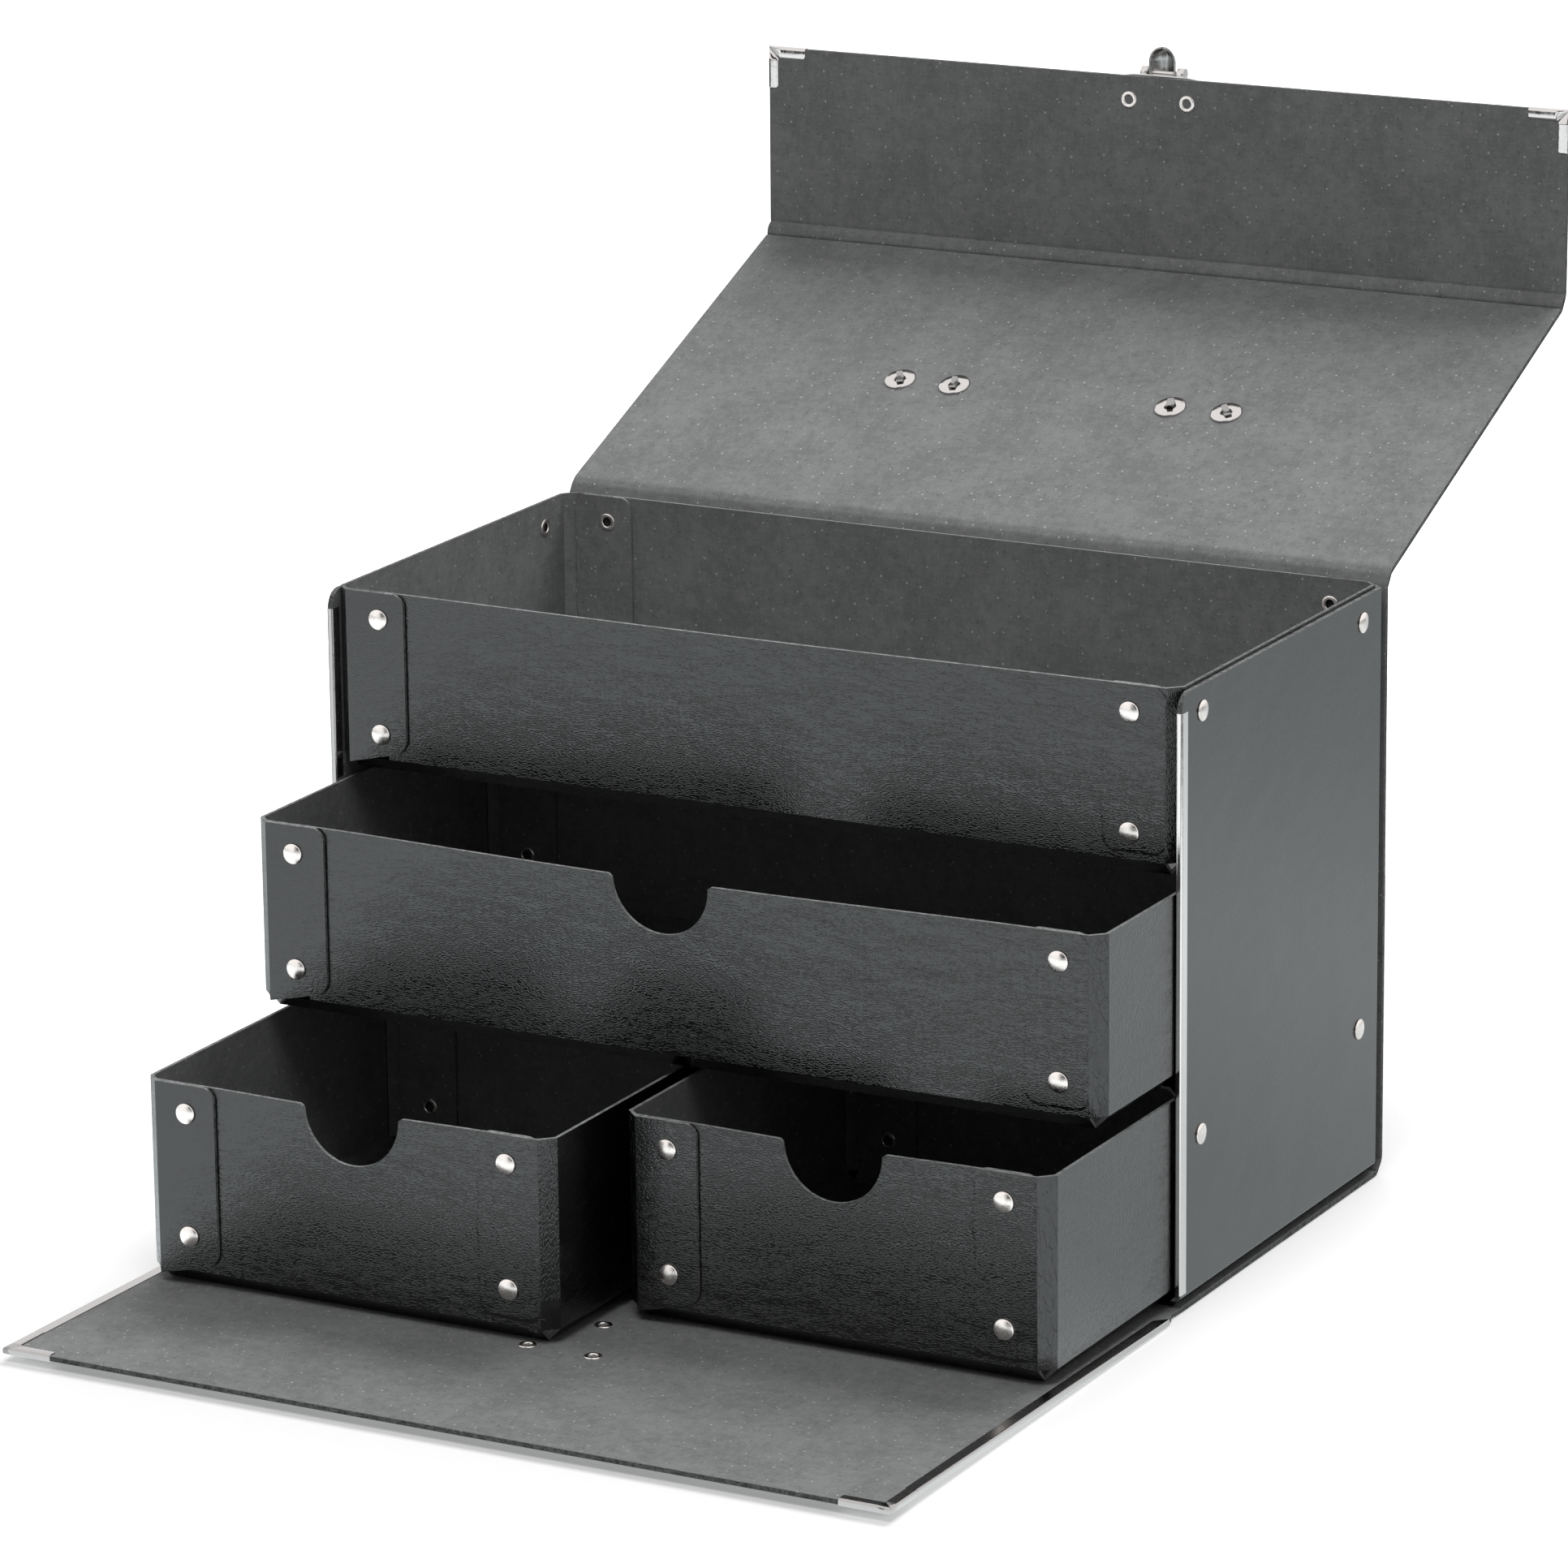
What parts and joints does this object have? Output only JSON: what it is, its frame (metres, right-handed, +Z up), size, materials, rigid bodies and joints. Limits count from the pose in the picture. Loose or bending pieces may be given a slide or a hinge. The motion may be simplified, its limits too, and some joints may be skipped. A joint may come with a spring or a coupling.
{
  "type": "drawer tool box",
  "caption": "Folded fibreboard tool box with an open top tray, a wide drawer over two small drawers, a wrap-round board and a flap with a latch.",
  "frame": {"origin": "centre of the underside of the bottom board", "axes": "+X to the box's own left-to-right as seen from its front, +Y to the back, +Z up"},
  "size_m": [0.3632, 0.6011, 0.4006],
  "materials": {
    "board": "satin",
    "liner": "matte",
    "trim": "polished",
    "rivet": "polished",
    "dark_metal": "polished",
    "grip": "matte"
  },
  "bodies": {
    "box": {"base_wrap": "board", "left_side_panel": "board", "right_side_panel": "board", "left_edge_trim": "trim", "right_edge_trim": "trim", "top_tray": "board", "tray_front_rivets": "rivet", "back_rivets": "rivet", "side_rivets": "rivet", "shelf": "board", "drawer_divider": "board"},
    "front_strip": {"front_fold_strip": "board"},
    "front": {"front_panel": "liner", "front_panel_left_trim": "trim", "front_panel_right_trim": "trim", "front_panel_left_corner": "trim", "front_panel_right_corner": "trim", "catch_plate": "rivet", "catch_rivets": "rivet"},
    "lid_strip": {"lid_fold_strip": "board"},
    "lid": {"lid_panel": "liner", "handle_left_bracket": "rivet", "handle_right_bracket": "rivet", "handle_washers": "rivet"},
    "flap_strip": {"flap_fold_strip": "board"},
    "flap": {"flap_panel": "liner", "flap_left_corner": "trim", "flap_right_corner": "trim", "latch_base": "rivet", "latch_pin": "rivet", "latch_rivets": "rivet"},
    "latch": {"latch_lever": "dark_metal"},
    "handle": {"handle_grip": "grip"},
    "wide_drawer": {"wide_drawer": "board", "wide_drawer_rivets": "rivet"},
    "left_drawer": {"left_drawer": "board", "left_drawer_rivets": "rivet"},
    "right_drawer": {"right_drawer": "board", "right_drawer_rivets": "rivet"}
  },
  "joints": [
    {"name": "lid_fold", "type": "hinge", "parent": "box", "child": "lid_strip", "pos_m": [0, 0.0936, 0.2344], "axis": [1, 0, 0], "range_deg": [-11.4, 78.6]},
    {"name": "lid_panel_fold", "type": "hinge", "parent": "lid_strip", "child": "lid", "pos_m": [0, 0.0972, 0.23982], "axis": [1, 0, 0], "range_deg": [-11.4, 78.6]},
    {"name": "flap_fold", "type": "hinge", "parent": "lid", "child": "flap_strip", "pos_m": [0, 0.26369, 0.3098], "axis": [1, 0, 0], "range_deg": [-33.3, 11.7]},
    {"name": "flap_panel_fold", "type": "hinge", "parent": "flap_strip", "child": "flap", "pos_m": [0, 0.26732, 0.3152], "axis": [1, 0, 0], "range_deg": [-33.3, 11.7]},
    {"name": "front_fold", "type": "hinge", "parent": "box", "child": "front_strip", "pos_m": [0, -0.089, 0.001], "axis": [-1, 0, 0], "range_deg": [-45, 0]},
    {"name": "front_panel_fold", "type": "hinge", "parent": "front_strip", "child": "front", "pos_m": [0, -0.0955, 0.00134], "axis": [-1, 0, 0], "range_deg": [-45, 0]},
    {"name": "latch_swing", "type": "hinge", "parent": "flap", "child": "latch", "pos_m": [0, 0.2727, 0.39035], "axis": [1, 0, 0], "range_deg": [-80, 25]},
    {"name": "handle_swing", "type": "hinge", "parent": "lid", "child": "handle", "pos_m": [0, 0.18065, 0.26839], "axis": [1, 0, 0], "range_deg": [-57, 102]},
    {"name": "wide_drawer_slide", "type": "slide", "parent": "box", "child": "wide_drawer", "axis": [0, 1, 0], "range_m": [-0.09, 0.0627]},
    {"name": "left_drawer_slide", "type": "slide", "parent": "box", "child": "left_drawer", "axis": [0, 1, 0], "range_m": [0, 0.1449]},
    {"name": "right_drawer_slide", "type": "slide", "parent": "box", "child": "right_drawer", "axis": [0, 1, 0], "range_m": [-0.035, 0.1033]}
  ]
}
